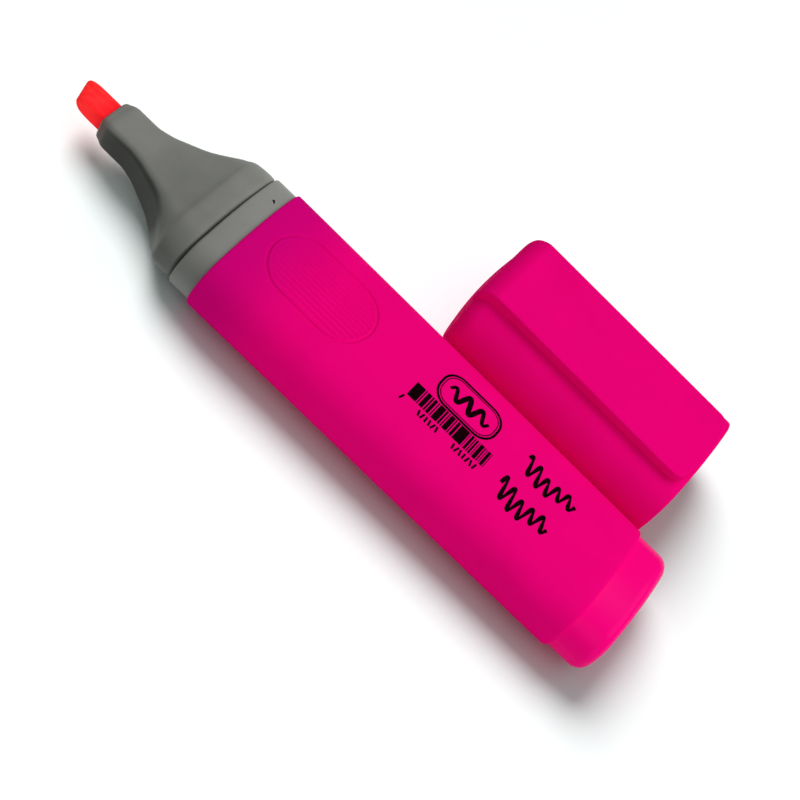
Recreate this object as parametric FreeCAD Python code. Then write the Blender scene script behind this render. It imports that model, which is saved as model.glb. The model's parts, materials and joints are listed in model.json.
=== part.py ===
import FreeCAD, Part

import math
import os

os.makedirs("parts", exist_ok=True)

# A flat-oval highlighter lying on a table without its cap, and the cap lying beside it.
# Millimetres. +Z is up, +X runs from the nib to the rear plug, and +Y from the marker to the cap.
# The origin is on the table, in the middle of the footprint of the two.

# ---- driving dimensions ----
# barrel: a four-arc oval, a little narrower at the rear
BARREL_WIDTH = 26.0
BARREL_HEIGHT = 14.2
BARREL_LENGTH = 74.0
BARREL_SIDE_RADIUS = 6.3
BARREL_TAPER = 0.96
BARREL_WALL = 1.2
BARREL_EDGE_ROUND = 0.3

# thumb pads: an oval groove with fine ribs inside, one above and one below
PAD_LENGTH = 20.1
PAD_WIDTH = 12.0
PAD_FROM_FRONT = 13.3
PAD_DEPTH = 0.25
PAD_GROOVE = 0.55
PAD_RIBS = 13
PAD_RIB_WIDTH = 0.4

# rear plug
PLUG_SHOWN = 6.7
PLUG_INSET = 0.55
PLUG_CORNER = 2.2
PLUG_WALL = 1.3
PLUG_SKIRT = 7.0
PLUG_FINS = 4
PLUG_FIN_PITCH = 4.1
PLUG_FIN_THICKNESS = 0.9

# front collar
COLLAR_SHOWN = 4.1
COLLAR_INSET = 0.5
COLLAR_SLEEVE = 9.0
COLLAR_WALL = 1.3
COLLAR_EDGE_ROUND = 0.35

# nose cone: distances ahead of the barrel's front edge
GROOVE_WIDTH = 0.65
GROOVE_INSET = 2.2
SKIRT_LENGTH = 4.3
SKIRT_HALF_WIDTH = 11.9
SKIRT_HALF_HEIGHT = 6.15
SKIRT_CORNER = 5.4
SHOULDER_HALF_WIDTH = 10.5
SHOULDER_HALF_HEIGHT = 5.4
SHOULDER_CORNER = 4.6
SHOULDER_ROUND = 1.2
NECK_HALF_WIDTH = 3.45
NECK_HALF_HEIGHT = 2.9
NECK_CORNER = 1.5
NECK_LENGTH = 4.0
LIP_HALF_WIDTH = 2.85
LIP_HALF_HEIGHT = 2.3
LIP_CORNER = 1.2
LIP_LENGTH = 1.7
NOSE_LENGTH = 28.2
NOSE_FLARE = [
    # ahead of the barrel, half width, half height, corner radius
    (17.3, 4.95, 3.4, 2.0),
    (14.1, 6.35, 4.0, 2.6),
    (11.1, 8.45, 4.8, 3.5),
]
NOSE_WALL = 1.4
SPIGOT_LENGTH = 9.0
NIB_CLEARANCE = 0.05

# nib: a chisel of pressed fibre
NIB_WIDTH = 4.4
NIB_THICKNESS = 3.4
NIB_CORNER = 0.45
NIB_SHOWN = 6.9
NIB_SLANT = 1.3
NIB_WEDGE = 4.6
NIB_EDGE = 0.7
NIB_LENGTH = 52.0

# ink reservoir and its film
RESERVOIR_WIDTH = 19.0
RESERVOIR_HEIGHT = 9.2
RESERVOIR_LENGTH = 57.5
RESERVOIR_SIDE_RADIUS = 4.1
RESERVOIR_FROM_FRONT = 9.5
FILM_THICKNESS = 0.25

# cap
CAP_PROUD = 0.65
CAP_PROUD_ABOVE = 1.2
CAP_SIDE_RADIUS = 7.6
CAP_CLEARANCE = 0.1
CAP_LENGTH = 44.4
CAP_DRAFT = 0.985
CAP_DOME_RADIUS = 42.0
CAP_END_ROUND = 3.2
CAP_END_WALL = 3.2
CAP_MOUTH_FROM_BARREL_REAR = 0.1
CAP_YAW = -1.0
SIDE_GAP = 0.2

# clip on the cap
CLIP_WIDTH = 15.8
CLIP_RISE = 1.2
CLIP_FRONT = 3.1
CLIP_FOOT = 0.5
CLIP_RAMP = 3.6
CLIP_RAMP_BULGE = 0.45
CLIP_EDGE_ROUND = 0.4
CLIP_ROOT_CORNER = 1.6
CLIP_ROOT_LENGTH = 3.6
CLIP_TIP_SHORT = 0.3
CLIP_TIP_BULGE = 1.3
CLIP_TIP_CORNER = 1.4
CLIP_ROOT_GAP = 0.05
CLIP_CLEARANCE = 0.4

# inner seal of the cap
SEAL_BORE_WIDTH = 7.5
SEAL_BORE_HEIGHT = 6.3
SEAL_CORNER = 1.6
SEAL_WALL = 0.9
SEAL_LENGTH = 19.4
SEAL_FLANGE = 1.2

# ---- places worked out from them ----
AXIS_HEIGHT = BARREL_HEIGHT / 2
CAP_HALF_WIDTH = BARREL_WIDTH / 2 + CAP_PROUD
CAP_HALF_HEIGHT = BARREL_HEIGHT / 2 + CAP_PROUD_ABOVE
CAP_FAR_SIDE = CAP_HALF_WIDTH + CAP_LENGTH * math.sin(math.radians(-CAP_YAW))
AXES_APART = BARREL_TAPER * BARREL_WIDTH / 2 + SIDE_GAP + CAP_HALF_WIDTH
MARKER_Y = (BARREL_WIDTH / 2 - AXES_APART - CAP_FAR_SIDE) / 2
CAP_Y = MARKER_Y + AXES_APART
NIB_REACH = NOSE_LENGTH + NIB_SHOWN
BARREL_FRONT = (NIB_REACH - BARREL_LENGTH - PLUG_SHOWN) / 2
BARREL_REAR = BARREL_FRONT + BARREL_LENGTH
CAP_MOUTH = BARREL_REAR - CAP_MOUTH_FROM_BARREL_REAR
CAP_END = CAP_MOUTH - CAP_LENGTH


def vec(x, y, z):
    return FreeCAD.Vector(x, y, z)


def oval_wire(x, half_width, half_height, side_radius, y, z):
    """A four-arc oval across X: round sides and slightly crowned flats, all tangent."""
    run = half_width - side_radius
    crown_radius = (run**2 + half_height**2 - side_radius**2) / (2 * (half_height - side_radius))
    crown_drop = crown_radius - half_height
    reach = crown_radius - side_radius
    join_y = run + side_radius * run / reach
    join_z = side_radius * crown_drop / reach
    corners = [
        vec(x, y + join_y, z + join_z),
        vec(x, y - join_y, z + join_z),
        vec(x, y - join_y, z - join_z),
        vec(x, y + join_y, z - join_z),
    ]
    middles = [
        vec(x, y, z + half_height),
        vec(x, y - half_width, z),
        vec(x, y, z - half_height),
        vec(x, y + half_width, z),
    ]
    arcs = []
    for k in range(4):
        arcs.append(Part.Arc(corners[k], middles[k], corners[(k + 1) % 4]).toShape())
    return Part.Wire(arcs)


def block_wire(x, half_width, half_height, corner, y, z):
    """A rectangle across X with round corners."""
    corners = [(1, 1), (-1, 1), (-1, -1), (1, -1)]
    arcs = []
    for k in range(4):
        side_y, side_z = corners[k]
        centre = vec(x, y + side_y * (half_width - corner), z + side_z * (half_height - corner))
        points = []
        for angle in (90 * k, 90 * k + 45, 90 * k + 90):
            turn = math.radians(angle)
            points.append(centre + vec(0, corner * math.cos(turn), corner * math.sin(turn)))
        arcs.append(Part.Arc(*points))
    edges = []
    for k in range(4):
        edges.append(arcs[k].toShape())
        edges.append(Part.LineSegment(arcs[k].EndPoint, arcs[(k + 1) % 4].StartPoint).toShape())
    return Part.Wire(edges)


def loft(wires, ruled=True):
    return Part.makeLoft(wires, True, ruled)


def barrel_oval(x, inset):
    """The barrel's outline at x, moved inwards by inset. It narrows evenly to the rear."""
    share = (x - BARREL_FRONT) / BARREL_LENGTH
    scale = 1 - (1 - BARREL_TAPER) * share
    return oval_wire(
        x,
        scale * BARREL_WIDTH / 2 - inset,
        scale * BARREL_HEIGHT / 2 - inset,
        scale * BARREL_SIDE_RADIUS - inset,
        MARKER_Y,
        AXIS_HEIGHT,
    )


def barrel_bar(x_from, x_to, inset):
    return loft([barrel_oval(x_from, inset), barrel_oval(x_to, inset)])


def front_oval_bar(x_from, x_to, inset):
    """A straight bar with the outline of the barrel's front edge, moved inwards by inset."""
    wire = oval_wire(
        x_from,
        BARREL_WIDTH / 2 - inset,
        BARREL_HEIGHT / 2 - inset,
        BARREL_SIDE_RADIUS - inset,
        MARKER_Y,
        AXIS_HEIGHT,
    )
    return Part.Face(wire).extrude(vec(x_to - x_from, 0, 0))


def block_bar(x_from, x_to, width, height, corner, y, z):
    wire = block_wire(x_from, width / 2, height / 2, corner, y, z)
    return Part.Face(wire).extrude(vec(x_to - x_from, 0, 0))


def edges_where(shape, wanted):
    return [edge for edge in shape.Edges if wanted(edge.BoundBox)]


def round_edges_at(shape, x, radius):
    """Rounds the edges that lie in the plane at x."""
    edges = edges_where(shape, lambda box: abs(box.XMin - x) < 0.01 and abs(box.XMax - x) < 0.01)
    return shape.makeFillet(radius, edges)


def stadium_prism(x, y, z_from, z_to, length, width):
    """An upright prism with a stadium outline, long along X."""
    reach = length / 2 - width / 2
    core = Part.makeBox(2 * reach, width, z_to - z_from, vec(x - reach, y - width / 2, z_from))
    shape = core
    for side in (-1, 1):
        end = Part.makeCylinder(width / 2, z_to - z_from, vec(x + side * reach, y, z_from))
        shape = shape.fuse(end)
    return shape.removeSplitter()


def pad_cutter():
    """What is cut from the barrel's two flats: a groove round each pad, and furrows between ribs."""
    x = BARREL_FRONT + PAD_FROM_FRONT
    outline = stadium_prism(x, MARKER_Y, 0, BARREL_HEIGHT, PAD_LENGTH, PAD_WIDTH)
    ribbed = stadium_prism(
        x, MARKER_Y, 0, BARREL_HEIGHT, PAD_LENGTH - 2 * PAD_GROOVE, PAD_WIDTH - 2 * PAD_GROOVE
    )
    pitch = (PAD_WIDTH - 2 * PAD_GROOVE) / PAD_RIBS
    ribs = []
    for k in range(PAD_RIBS):
        y = MARKER_Y + (k - (PAD_RIBS - 1) / 2) * pitch - PAD_RIB_WIDTH / 2
        ribs.append(
            Part.makeBox(PAD_LENGTH, PAD_RIB_WIDTH, BARREL_HEIGHT, vec(x - PAD_LENGTH / 2, y, 0))
        )
    ribs = ribs[0].multiFuse(ribs[1:]).common(ribbed)
    core = barrel_bar(BARREL_FRONT - 1, BARREL_REAR + 1, PAD_DEPTH)
    return outline.cut(ribs).cut(core)


def make_barrel():
    outer = barrel_bar(BARREL_FRONT, BARREL_REAR, 0)
    outer = round_edges_at(outer, BARREL_FRONT, BARREL_EDGE_ROUND)
    outer = round_edges_at(outer, BARREL_REAR, 2 * BARREL_EDGE_ROUND)
    bore = barrel_bar(BARREL_FRONT - 1, BARREL_REAR + 1, BARREL_WALL)
    return outer.cut(bore).cut(pad_cutter())


def make_rear_plug():
    end = BARREL_REAR + PLUG_SHOWN
    head = barrel_bar(BARREL_REAR, end, PLUG_INSET)
    head = round_edges_at(head, end, PLUG_CORNER)
    skirt = barrel_bar(BARREL_REAR - PLUG_SKIRT, BARREL_REAR, BARREL_WALL)
    hollow = barrel_bar(
        BARREL_REAR - PLUG_SKIRT - 1, end - PLUG_WALL - PLUG_CORNER / 2, BARREL_WALL + PLUG_WALL
    )
    plug = head.fuse(skirt).cut(hollow)
    fins = []
    for k in range(PLUG_FINS):
        y = MARKER_Y + (k - (PLUG_FINS - 1) / 2) * PLUG_FIN_PITCH - PLUG_FIN_THICKNESS / 2
        fin = Part.makeBox(
            PLUG_SKIRT + PLUG_WALL,
            PLUG_FIN_THICKNESS,
            BARREL_HEIGHT,
            vec(BARREL_REAR - PLUG_SKIRT + PLUG_WALL, y, 0),
        )
        inside = barrel_bar(
            BARREL_REAR - PLUG_SKIRT, end - PLUG_WALL, BARREL_WALL + PLUG_WALL / 2
        )
        fins.append(fin.common(inside))
    return plug.multiFuse(fins).removeSplitter()


def nose_wire(ahead, half_width, half_height, corner):
    return block_wire(
        BARREL_FRONT - ahead, half_width, half_height, corner, MARKER_Y, AXIS_HEIGHT
    )


def make_front_collar():
    front = BARREL_FRONT - COLLAR_SHOWN
    band = front_oval_bar(front, BARREL_FRONT, COLLAR_INSET)
    band = round_edges_at(band, front, COLLAR_EDGE_ROUND)
    sleeve = barrel_bar(BARREL_FRONT, BARREL_FRONT + COLLAR_SLEEVE, BARREL_WALL)
    socket = front_oval_bar(
        front - 1, BARREL_FRONT + COLLAR_SLEEVE + 1, BARREL_WALL + COLLAR_WALL
    )
    return band.fuse(sleeve).cut(socket)


def make_nose_cone():
    rim = COLLAR_SHOWN + GROOVE_WIDTH
    shoulder = rim + SKIRT_LENGTH
    neck_front = NOSE_LENGTH - LIP_LENGTH
    flare_stations = [
        (NOSE_LENGTH, LIP_HALF_WIDTH, LIP_HALF_HEIGHT, LIP_CORNER),
        (neck_front, NECK_HALF_WIDTH, NECK_HALF_HEIGHT, NECK_CORNER),
        (neck_front - NECK_LENGTH, NECK_HALF_WIDTH, NECK_HALF_HEIGHT, NECK_CORNER),
        *NOSE_FLARE,
        (shoulder, SHOULDER_HALF_WIDTH, SHOULDER_HALF_HEIGHT, SHOULDER_CORNER),
    ]
    flare = loft([nose_wire(*station) for station in flare_stations], ruled=False)
    skirt_stations = [
        (shoulder, SHOULDER_HALF_WIDTH, SHOULDER_HALF_HEIGHT, SHOULDER_CORNER),
        (shoulder - SHOULDER_ROUND, SKIRT_HALF_WIDTH, SKIRT_HALF_HEIGHT, SKIRT_CORNER),
        (rim, SKIRT_HALF_WIDTH, SKIRT_HALF_HEIGHT, SKIRT_CORNER),
    ]
    skirt = loft([nose_wire(*station) for station in skirt_stations])
    spigot = front_oval_bar(
        BARREL_FRONT - rim, BARREL_FRONT + SPIGOT_LENGTH - rim, BARREL_WALL + COLLAR_WALL
    )
    nose = flare.fuse([skirt, spigot])
    hollow_width = 2 * (SKIRT_HALF_WIDTH - 2 * NOSE_WALL - GROOVE_INSET)
    hollow_height = 2 * (SKIRT_HALF_HEIGHT - NOSE_WALL - GROOVE_INSET / 2)
    hollow = block_bar(
        BARREL_FRONT - shoulder + NOSE_WALL,
        BARREL_FRONT + SPIGOT_LENGTH,
        hollow_width,
        hollow_height,
        hollow_height / 3,
        MARKER_Y,
        AXIS_HEIGHT,
    )
    channel = block_bar(
        BARREL_FRONT - NOSE_LENGTH - 1,
        BARREL_FRONT,
        NIB_WIDTH + 2 * NIB_CLEARANCE,
        NIB_THICKNESS + 2 * NIB_CLEARANCE,
        NIB_CORNER,
        MARKER_Y,
        AXIS_HEIGHT,
    )
    return nose.cut(hollow).cut(channel)


def nib_bar(extra):
    tip = BARREL_FRONT - NIB_REACH
    return block_bar(
        tip,
        tip + NIB_LENGTH + extra,
        NIB_WIDTH + 2 * extra,
        NIB_THICKNESS + 2 * extra,
        NIB_CORNER,
        MARKER_Y,
        AXIS_HEIGHT,
    )


def make_nib():
    """A bar whose front is cut back on both flats to a slanting chisel edge."""
    tip = BARREL_FRONT - NIB_REACH
    half_edge = NIB_EDGE / 2
    half_thick = NIB_THICKNESS / 2
    sections = []
    for side in (-1, 1):
        y = MARKER_Y + side * NIB_WIDTH
        edge_x = tip + NIB_SLANT / 2 - side * NIB_SLANT
        outline = [
            vec(edge_x, y, AXIS_HEIGHT - half_edge),
            vec(edge_x + NIB_WEDGE, y, AXIS_HEIGHT - half_thick),
            vec(tip + NIB_LENGTH, y, AXIS_HEIGHT - half_thick),
            vec(tip + NIB_LENGTH, y, AXIS_HEIGHT + half_thick),
            vec(edge_x + NIB_WEDGE, y, AXIS_HEIGHT + half_thick),
            vec(edge_x, y, AXIS_HEIGHT + half_edge),
        ]
        sections.append(Part.makePolygon(outline + outline[:1]))
    wedge = loft(sections)
    return nib_bar(0).common(wedge)


def reservoir_bar(extra, length_extra):
    start = BARREL_FRONT + RESERVOIR_FROM_FRONT
    wire = oval_wire(
        start - length_extra,
        RESERVOIR_WIDTH / 2 + extra,
        RESERVOIR_HEIGHT / 2 + extra,
        RESERVOIR_SIDE_RADIUS + extra,
        MARKER_Y,
        AXIS_HEIGHT,
    )
    return Part.Face(wire).extrude(vec(RESERVOIR_LENGTH + 2 * length_extra, 0, 0))


def make_ink_reservoir():
    return reservoir_bar(0, 0).cut(nib_bar(NIB_CLEARANCE))


def make_reservoir_wrap():
    return reservoir_bar(FILM_THICKNESS, 0).cut(reservoir_bar(0, 1))


def cap_scale(x):
    """The cap narrows a little to its closed end."""
    return 1 - (1 - CAP_DRAFT) * (CAP_MOUTH - x) / CAP_LENGTH


def cap_oval(x, inset):
    """The cap's outline at x, moved inwards by inset."""
    scale = cap_scale(x)
    return oval_wire(
        x,
        scale * CAP_HALF_WIDTH - inset,
        scale * CAP_HALF_HEIGHT - inset,
        scale * CAP_SIDE_RADIUS - inset,
        CAP_Y,
        CAP_HALF_HEIGHT,
    )


def cavity_oval(x):
    """The outline of the cap's cavity at x: at the mouth it passes over the collar."""
    scale = cap_scale(x)
    grow = CAP_CLEARANCE - COLLAR_INSET
    drawn_in = (1 - scale) * CAP_HALF_WIDTH
    return oval_wire(
        x,
        BARREL_WIDTH / 2 + grow - drawn_in,
        BARREL_HEIGHT / 2 + grow - drawn_in,
        BARREL_SIDE_RADIUS + grow - drawn_in,
        CAP_Y,
        CAP_HALF_HEIGHT,
    )


def clip_root():
    """The solid root of the clip: a bulging ramp from the cap's closed end up to the clip's top."""
    top = 2 * CAP_HALF_HEIGHT + CLIP_RISE
    root_end = CAP_END + CLIP_FRONT + CLIP_ROOT_LENGTH
    side = CAP_Y - CLIP_WIDTH / 2
    foot = vec(CAP_END + CLIP_FOOT, side, top - CLIP_RAMP)
    crest = vec(CAP_END + CLIP_FRONT, side, top)
    bulge = (foot + crest) * 0.5 + vec(-CLIP_RAMP_BULGE, 0, CLIP_RAMP_BULGE)
    buried = vec(CAP_END + CLIP_FOOT, side, AXIS_HEIGHT)
    profile = [
        Part.makeLine(buried, foot),
        Part.Arc(foot, bulge, crest).toShape(),
        Part.makeLine(crest, vec(root_end, side, top)),
        Part.makeLine(vec(root_end, side, top), vec(root_end, side, AXIS_HEIGHT)),
        Part.makeLine(vec(root_end, side, AXIS_HEIGHT), buried),
    ]
    ramp = Part.Face(Part.Wire(profile)).extrude(vec(0, CLIP_WIDTH, 0))
    plan = Part.makeBox(root_end - buried.x, CLIP_WIDTH, top, vec(buried.x, side, 0))
    corners = edges_where(plan, lambda box: box.ZLength > 1 and box.XMax < root_end - 1)
    plan = plan.makeFillet(CLIP_ROOT_CORNER, corners)
    rims = edges_where(plan, lambda box: box.ZMin > top - 0.01 and box.XMin < root_end - 0.01)
    return ramp.common(plan.makeFillet(CLIP_EDGE_ROUND, rims))


def make_cap_shell():
    outer = loft([cap_oval(CAP_END - 1, 0), cap_oval(CAP_MOUTH, 0)])
    dome = Part.makeSphere(CAP_DOME_RADIUS, vec(CAP_END + CAP_DOME_RADIUS, CAP_Y, CAP_HALF_HEIGHT))
    outer = outer.common(dome)
    end_edges = edges_where(outer, lambda box: box.XMax < CAP_END + CAP_LENGTH / 4)
    outer = outer.makeFillet(CAP_END_ROUND, end_edges)
    cavity = loft([cavity_oval(CAP_END + CAP_END_WALL), cavity_oval(CAP_MOUTH + 1)])
    return outer.fuse(clip_root()).cut(cavity).removeSplitter()


def make_cap_clip():
    """A slab with a bowed tip, hollowed below to clear the cap's crown all over."""
    root_end = CAP_END + CLIP_FRONT + CLIP_ROOT_LENGTH + CLIP_ROOT_GAP
    tip = CAP_MOUTH - CLIP_TIP_SHORT
    shoulder = tip - CLIP_TIP_BULGE
    top = 2 * CAP_HALF_HEIGHT + CLIP_RISE
    bottom = top - 2 * CLIP_RAMP
    left = CAP_Y - CLIP_WIDTH / 2
    right = CAP_Y + CLIP_WIDTH / 2
    outline = [
        Part.makeLine(vec(root_end, left, bottom), vec(shoulder, left, bottom)),
        Part.Arc(
            vec(shoulder, left, bottom), vec(tip, CAP_Y, bottom), vec(shoulder, right, bottom)
        ).toShape(),
        Part.makeLine(vec(shoulder, right, bottom), vec(root_end, right, bottom)),
        Part.makeLine(vec(root_end, right, bottom), vec(root_end, left, bottom)),
    ]
    arm = Part.Face(Part.Wire(outline)).extrude(vec(0, 0, top - bottom))
    tip_edges = edges_where(arm, lambda box: box.ZLength > 1 and box.XMin > shoulder - 0.01)
    arm = arm.makeFillet(CLIP_TIP_CORNER, tip_edges)
    rims = edges_where(arm, lambda box: box.ZMin > top - 0.01 and box.XMax > root_end + 0.01)
    arm = arm.makeFillet(CLIP_EDGE_ROUND, rims)
    kept_clear = loft(
        [cap_oval(CAP_END - 1, -CLIP_CLEARANCE), cap_oval(CAP_MOUTH + 1, -CLIP_CLEARANCE)]
    )
    return arm.cut(kept_clear)


def make_cap_inner_seal():
    base = CAP_END + CAP_END_WALL
    bore = block_bar(
        base - 1,
        base + SEAL_LENGTH + 1,
        SEAL_BORE_WIDTH,
        SEAL_BORE_HEIGHT,
        SEAL_CORNER,
        CAP_Y,
        CAP_HALF_HEIGHT,
    )
    cup = block_bar(
        base,
        base + SEAL_LENGTH,
        SEAL_BORE_WIDTH + 2 * SEAL_WALL,
        SEAL_BORE_HEIGHT + 2 * SEAL_WALL,
        SEAL_CORNER + SEAL_WALL,
        CAP_Y,
        CAP_HALF_HEIGHT,
    )
    flange = loft([cavity_oval(base), cavity_oval(base + SEAL_FLANGE)])
    return cup.fuse(flange).cut(bore)


PIECES = {
    "barrel": make_barrel,
    "rear_plug": make_rear_plug,
    "front_collar": make_front_collar,
    "nose_cone": make_nose_cone,
    "nib": make_nib,
    "ink_reservoir": make_ink_reservoir,
    "reservoir_wrap": make_reservoir_wrap,
    "cap_shell": make_cap_shell,
    "cap_clip": make_cap_clip,
    "cap_inner_seal": make_cap_inner_seal,
}

for name, make in PIECES.items():
    shape = make()
    if name.startswith("cap"):
        shape.rotate(vec(CAP_MOUTH, CAP_Y, 0), vec(0, 0, 1), CAP_YAW)
    box = shape.BoundBox
    print(
        f"{name}: valid {shape.isValid()}, solids {len(shape.Solids)}, volume {shape.Volume:.1f},"
        f" x {box.XMin:.2f} to {box.XMax:.2f}, y {box.YMin:.2f} to {box.YMax:.2f},"
        f" z {box.ZMin:.2f} to {box.ZMax:.2f}"
    )
    shape.exportStep(f"parts/{name}.step")
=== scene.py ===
import json
import math

import bmesh
import bpy
from mathutils import Matrix, Vector, noise


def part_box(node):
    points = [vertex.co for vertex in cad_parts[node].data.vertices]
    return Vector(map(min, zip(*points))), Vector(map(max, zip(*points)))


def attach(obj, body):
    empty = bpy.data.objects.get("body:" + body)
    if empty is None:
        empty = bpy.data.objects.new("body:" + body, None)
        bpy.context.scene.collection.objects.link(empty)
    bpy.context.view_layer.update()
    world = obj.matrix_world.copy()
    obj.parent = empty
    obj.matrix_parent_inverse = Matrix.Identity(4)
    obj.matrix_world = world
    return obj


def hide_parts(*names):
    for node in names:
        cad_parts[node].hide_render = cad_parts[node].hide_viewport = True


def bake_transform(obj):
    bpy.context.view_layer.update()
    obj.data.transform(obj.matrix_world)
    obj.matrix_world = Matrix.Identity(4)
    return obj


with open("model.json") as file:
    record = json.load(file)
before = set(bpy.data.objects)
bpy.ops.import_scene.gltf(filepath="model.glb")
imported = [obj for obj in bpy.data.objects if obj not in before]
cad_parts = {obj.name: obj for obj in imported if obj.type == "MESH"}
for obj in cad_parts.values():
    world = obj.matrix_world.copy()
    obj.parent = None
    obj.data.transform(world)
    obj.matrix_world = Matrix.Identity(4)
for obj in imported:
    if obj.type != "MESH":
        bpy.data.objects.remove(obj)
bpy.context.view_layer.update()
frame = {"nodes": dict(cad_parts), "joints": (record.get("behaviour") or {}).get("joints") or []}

# A fluorescent pink flat-oval highlighter lies on a table, uncapped, with its cap beside it.
# Shapes are worked out in millimetres and become metres when a mesh is made.
MM = 0.001


def box_mm(node):
    low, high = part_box(node)
    return low / MM, high / MM


def joint_named(name):
    return next(joint for joint in frame["joints"] if joint["name"] == name)


# ---- places, read from the frame ----
barrel_low, barrel_high = box_mm("barrel")
collar_low, collar_high = box_mm("front_collar")
plug_low, plug_high = box_mm("rear_plug")
nib_low, nib_high = box_mm("nib")
shell_low, shell_high = box_mm("cap_shell")

BARREL_FRONT = barrel_low.x
BARREL_REAR = barrel_high.x
BARREL_LENGTH = BARREL_REAR - BARREL_FRONT
HALF_WIDTH = (barrel_high.y - barrel_low.y) / 2
HALF_HEIGHT = barrel_high.z / 2
MARKER_Y = (barrel_low.y + barrel_high.y) / 2
AXIS_Z = HALF_HEIGHT
NOSE_LIP = box_mm("nose_cone")[0].x

# the cap's own frame: x from its closed end to its mouth, y from its middle, z from the table
CAP_AXIS = -Vector(joint_named("cap_pull")["axis"])
CAP_MIDDLE = (shell_low + shell_high) / 2

# ---- sizes. Insets are measured inwards from a piece's outline ----
# barrel
SIDE_RADIUS = 6.3
BARREL_SIZES = (HALF_WIDTH, HALF_HEIGHT, SIDE_RADIUS)
BARREL_TAPER = 0.96
BARREL_WALL = 1.2
FRONT_EDGE_ROUND = 0.3
REAR_EDGE_ROUND = 0.5

# thumb pad: a groove with round ends, and ribs along the marker inside it
PAD_LENGTH = 20.1
PAD_WIDTH = 12.0
PAD_FROM_FRONT = 13.3
PAD_GROOVE = 0.6
PAD_GROOVE_DEPTH = 0.22
PAD_RIBS = 13
PAD_RIB_DEPTH = 0.17
PAD_RIB_FRONT_SHARE = 0.35
PAD_STEP = 0.16

# plug and collar
PLUG_INSET = 0.55
PLUG_CORNER = 2.2
PLUG_WALL = 1.3
PLUG_FLANGE_SUNK = 0.3
PLUG_END_SHARES = (0.8, 0.5, 0.2)
COLLAR_INSET = 0.5
COLLAR_WALL = 1.3
COLLAR_EDGE_ROUND = 0.35

# nose: ahead of the barrel, half width, half height, corner, share of height lost at the sides
NOSE_STATIONS = [
    (28.2, 2.7, 2.15, 0.9, 0.0),
    (28.05, 2.9, 2.35, 0.95, 0.0),
    (27.4, 3.12, 2.55, 1.0, 0.0),
    (26.6, 3.42, 2.85, 1.15, 0.0),
    (25.9, 3.5, 2.92, 1.15, 0.0),
    (22.5, 3.5, 2.93, 1.15, 0.0),
    (19.6, 4.05, 3.1, 1.2, 0.0),
    (17.3, 4.95, 3.4, 1.3, 0.0),
    (14.1, 6.4, 4.0, 1.6, 0.02),
    (11.6, 8.2, 4.7, 2.3, 0.04),
    (9.9, 9.85, 5.25, 3.4, 0.06),
    (9.05, 10.75, 5.6, 4.4, 0.08),
    (8.5, 11.3, 5.92, 5.0, 0.09),
    (8.1, 11.55, 6.05, 5.2, 0.1),
    (7.3, 11.72, 6.12, 5.3, 0.1),
    (5.5, 11.88, 6.16, 5.4, 0.1),
    (4.85, 11.82, 6.1, 5.3, 0.1),
    (4.5, 11.6, 5.92, 5.1, 0.1),
    (4.35, 11.25, 5.6, 4.9, 0.1),
]
NOSE_RIM_SLANT = 0.24
NOSE_RIM_SLANT_START = 9.0
SPIGOT_INSET = 2.5
SPIGOT_END = 4.25
SPIGOT_CORNER = 3.6
SPIGOT_CROWN = 0.12
NOSE_HOLLOW_START = 7.65
NOSE_HOLLOW_HALF_WIDTH = 6.9
NOSE_HOLLOW_HALF_HEIGHT = 3.65
NOSE_HOLLOW_CORNER = 2.4

# nib: a slanting edge at the tip, a wedge behind it, then the full thickness
NIB_HALF_WIDTH = 2.2
NIB_HALF_THICKNESS = 1.7
NIB_CLEARANCE = 0.05
NIB_SLANT = 1.5
NIB_WEDGE = 3.2
NIB_HALF_EDGE = 0.5
NIB_EDGE_ROUND = 0.3
NIB_EDGE_THINNER = 0.25
NIB_CORNER = 0.55
NIB_CORNER_LIMIT = 0.9
NIB_WEAR = 0.3
NIB_WEAR_LENGTH = 1.2
NIB_TIP_STATIONS = [0.0, 0.06, 0.15, 0.3]
NIB_FIBRES_START = 0.5
NIB_FIBRES_END = 9.0
NIB_FIBRE_RELIEF = 0.012
NIB_FIBRE_STRETCH = (0.8, 5, 5)

# cap: the closed end is bent back onto a dome and rounded into the side
CAP_LENGTH = 44.4
CAP_HALF_WIDTH = HALF_WIDTH + 0.65
CAP_HALF_HEIGHT = HALF_HEIGHT + 1.2
CAP_SIDE_RADIUS = 7.6
CAP_SIZES = (CAP_HALF_WIDTH, CAP_HALF_HEIGHT, CAP_SIDE_RADIUS)
CAP_DRAFT = 0.985
CAP_DOME_RADIUS = 42.0
CAP_DOME_SHARES = (0.75, 0.5, 0.25)
CAP_DOME_AT_SIDE = 0.35
CAP_END_ROUND = 3.2
CAP_END_RIM = 2.6
CAP_END_RIM_STEP = 0.9
CAP_END_WALL = 3.2
CAP_SIDE_START = 2.5
CAP_RIM_ROUND = 0.35
CAVITY_INSET = 0.4
CAVITY_CHAMFER = 0.2
CAVITY_FROM_MOUTH = (12, 24)
# the round at the cavity's floor starts this far from the end wall, and ends at (from it, inset)
CAVITY_ROUND_START = 2
CAVITY_ROUND_END = (0.9, 2.2)
CAP_OUTLINE_STEPS = (56, 30)

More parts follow.
